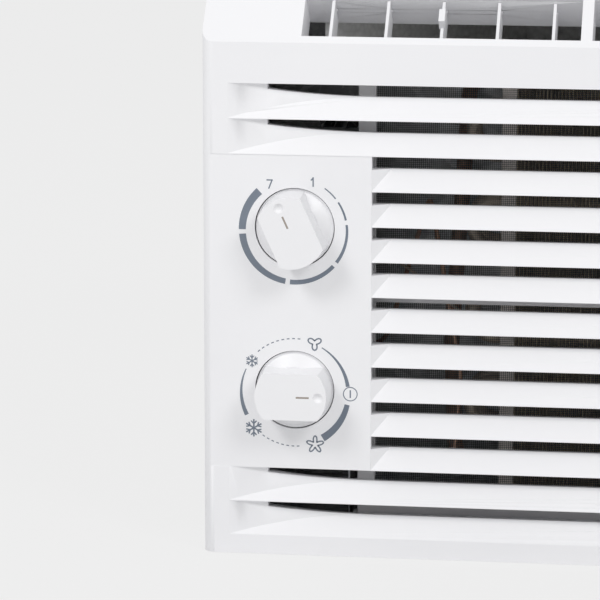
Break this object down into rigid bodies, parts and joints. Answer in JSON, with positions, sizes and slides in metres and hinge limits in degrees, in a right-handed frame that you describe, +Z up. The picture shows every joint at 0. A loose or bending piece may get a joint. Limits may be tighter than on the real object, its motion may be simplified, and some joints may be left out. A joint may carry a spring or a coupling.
{
  "type": "window air conditioner",
  "caption": "White room air conditioner for a sash window, with slatted front, two rotary knobs, pull-out filter, swinging outlet vanes and coaxial fans.",
  "frame": {"origin": "bottom centre of the whole unit, on the surface it stands on", "axes": "+Z up, the slatted front faces -Y, +X to the right as seen from the front"},
  "size_m": [0.406, 0.398, 0.3155],
  "materials": {
    "panel_plastic": "fine satin moulding",
    "outlet_plastic": "satin",
    "knob_plastic": "satin",
    "filter_frame_plastic": "matt grey",
    "filter_net": "woven net",
    "galvanised_steel": "galvanised, spangled",
    "zinc_steel": "zinc plated",
    "cabinet_paint": "powder coat, fine texture",
    "guard_paint": "powder coat",
    "black_plastic": "matt",
    "rubber": "matt",
    "wire_jacket": "smooth sleeve",
    "white_foam": "beaded foam",
    "fin_aluminium": "thin stamped fins",
    "copper": "drawn copper, slightly dull",
    "black_paint": "semi-gloss",
    "capacitor_can": "drawn can",
    "thermostat_case": "plated case"
  },
  "bodies": {
    "housing": {"front_panel": "panel_plastic", "discharge_frame": "outlet_plastic", "thermostat_body": "thermostat_case", "mode_switch": "black_plastic", "sensing_bulb": "copper", "control_box": "galvanised_steel", "control_box_cover": "galvanised_steel", "run_capacitor": "capacitor_can", "wire_harness": "wire_jacket", "base_pan": "galvanised_steel", "cabinet": "cabinet_paint", "rear_guard": "guard_paint", "top_rail": "cabinet_paint", "screws": "zinc_steel", "cord_gland": "rubber", "drain_plug": "rubber", "evaporator_fins": "fin_aluminium", "evaporator_end_plates": "galvanised_steel", "evaporator_tubes": "copper", "evaporator_tray": "white_foam", "condenser_fins": "fin_aluminium", "condenser_end_plates": "galvanised_steel", "condenser_tubes": "copper", "condenser_shroud": "black_plastic", "compressor_shell": "black_paint", "compressor_grommets": "rubber", "compressor_nuts": "zinc_steel", "terminal_cover": "black_plastic", "accumulator": "black_paint", "discharge_tube": "copper", "suction_tube": "copper", "liquid_tube": "copper", "capillary_tube": "copper", "filter_drier": "copper", "fan_motor": "black_paint", "motor_bracket": "galvanised_steel", "scroll_housing": "white_foam", "blower_orifice": "white_foam", "bulkhead": "galvanised_steel"},
    "filter": {"filter_frame": "filter_frame_plastic", "filter_mesh": "filter_net"},
    "temp_control": {"temp_knob": "knob_plastic", "thermostat_shaft": "zinc_steel"},
    "mode_control": {"mode_knob": "knob_plastic", "switch_shaft": "zinc_steel"},
    "rotor": {"motor_shaft": "zinc_steel", "blower_wheel": "black_plastic", "condenser_fan": "black_plastic"},
    "left_link": {"left_link_bar": "outlet_plastic"},
    "right_link": {"right_link_bar": "outlet_plastic"},
    "left_vane_1": {"left_vane_1": "outlet_plastic"},
    "left_vane_2": {"left_vane_2": "outlet_plastic"},
    "left_vane_3": {"left_vane_3": "outlet_plastic"},
    "left_vane_4": {"left_vane_4": "outlet_plastic"},
    "left_vane_5": {"left_vane_5": "outlet_plastic"},
    "right_vane_1": {"right_vane_1": "outlet_plastic"},
    "right_vane_2": {"right_vane_2": "outlet_plastic"},
    "right_vane_3": {"right_vane_3": "outlet_plastic"},
    "right_vane_4": {"right_vane_4": "outlet_plastic"},
    "right_vane_5": {"right_vane_5": "outlet_plastic"}
  },
  "joints": [
    {"name": "temp_knob_turn", "type": "hinge", "parent": "housing", "child": "temp_control", "pos_m": [-0.1532, -0.181, 0.18], "axis": [0, 1, 0], "range_deg": [-306, 0]},
    {"name": "mode_knob_turn", "type": "hinge", "parent": "housing", "child": "mode_control", "pos_m": [-0.1532, -0.181, 0.0915], "axis": [0, 1, 0], "continuous": true},
    {"name": "filter_slide", "type": "slide", "parent": "housing", "child": "filter", "axis": [1, 0, 0], "range_m": [0, 0.31]},
    {"name": "rotor_spin", "type": "hinge", "parent": "housing", "child": "rotor", "pos_m": [0.066, 0.019, 0.14], "axis": [0, 1, 0], "continuous": true},
    {"name": "left_vane_1_swing", "type": "hinge", "parent": "housing", "child": "left_vane_1", "pos_m": [-0.0177, -0.1588, 0.28282], "axis": [0, 0.7071, 0.7071], "range_deg": [-35, 35]},
    {"name": "left_vane_2_swing", "type": "hinge", "parent": "housing", "child": "left_vane_2", "pos_m": [-0.0471, -0.1588, 0.28282], "axis": [0, 0.7071, 0.7071], "range_deg": [-35, 35]},
    {"name": "left_vane_3_swing", "type": "hinge", "parent": "housing", "child": "left_vane_3", "pos_m": [-0.0765, -0.1588, 0.28282], "axis": [0, 0.7071, 0.7071], "range_deg": [-35, 35]},
    {"name": "left_vane_4_swing", "type": "hinge", "parent": "housing", "child": "left_vane_4", "pos_m": [-0.1059, -0.1588, 0.28282], "axis": [0, 0.7071, 0.7071], "range_deg": [-35, 35]},
    {"name": "left_vane_5_swing", "type": "hinge", "parent": "housing", "child": "left_vane_5", "pos_m": [-0.1353, -0.1588, 0.28282], "axis": [0, 0.7071, 0.7071], "range_deg": [-35, 35]},
    {"name": "left_link_turn", "type": "hinge", "parent": "left_vane_3", "child": "left_link", "pos_m": [-0.0765, -0.1612, 0.27052], "axis": [0, 0.7071, 0.7071], "range_deg": [-35, 35]},
    {"name": "right_vane_1_swing", "type": "hinge", "parent": "housing", "child": "right_vane_1", "pos_m": [0.0177, -0.1588, 0.28282], "axis": [0, 0.7071, 0.7071], "range_deg": [-35, 35]},
    {"name": "right_vane_2_swing", "type": "hinge", "parent": "housing", "child": "right_vane_2", "pos_m": [0.0471, -0.1588, 0.28282], "axis": [0, 0.7071, 0.7071], "range_deg": [-35, 35]},
    {"name": "right_vane_3_swing", "type": "hinge", "parent": "housing", "child": "right_vane_3", "pos_m": [0.0765, -0.1588, 0.28282], "axis": [0, 0.7071, 0.7071], "range_deg": [-35, 35]},
    {"name": "right_vane_4_swing", "type": "hinge", "parent": "housing", "child": "right_vane_4", "pos_m": [0.1059, -0.1588, 0.28282], "axis": [0, 0.7071, 0.7071], "range_deg": [-35, 35]},
    {"name": "right_vane_5_swing", "type": "hinge", "parent": "housing", "child": "right_vane_5", "pos_m": [0.1353, -0.1588, 0.28282], "axis": [0, 0.7071, 0.7071], "range_deg": [-35, 35]},
    {"name": "right_link_turn", "type": "hinge", "parent": "right_vane_3", "child": "right_link", "pos_m": [0.0765, -0.1612, 0.27052], "axis": [0, 0.7071, 0.7071], "range_deg": [-35, 35]}
  ],
  "couplings": [
    {"joint": "left_vane_1_swing", "follows": "left_vane_3_swing", "ratio": 1},
    {"joint": "left_vane_2_swing", "follows": "left_vane_3_swing", "ratio": 1},
    {"joint": "left_vane_4_swing", "follows": "left_vane_3_swing", "ratio": 1},
    {"joint": "left_vane_5_swing", "follows": "left_vane_3_swing", "ratio": 1},
    {"joint": "left_link_turn", "follows": "left_vane_3_swing", "ratio": -1},
    {"joint": "right_vane_1_swing", "follows": "right_vane_3_swing", "ratio": 1},
    {"joint": "right_vane_2_swing", "follows": "right_vane_3_swing", "ratio": 1},
    {"joint": "right_vane_4_swing", "follows": "right_vane_3_swing", "ratio": 1},
    {"joint": "right_vane_5_swing", "follows": "right_vane_3_swing", "ratio": 1},
    {"joint": "right_link_turn", "follows": "right_vane_3_swing", "ratio": -1}
  ]
}
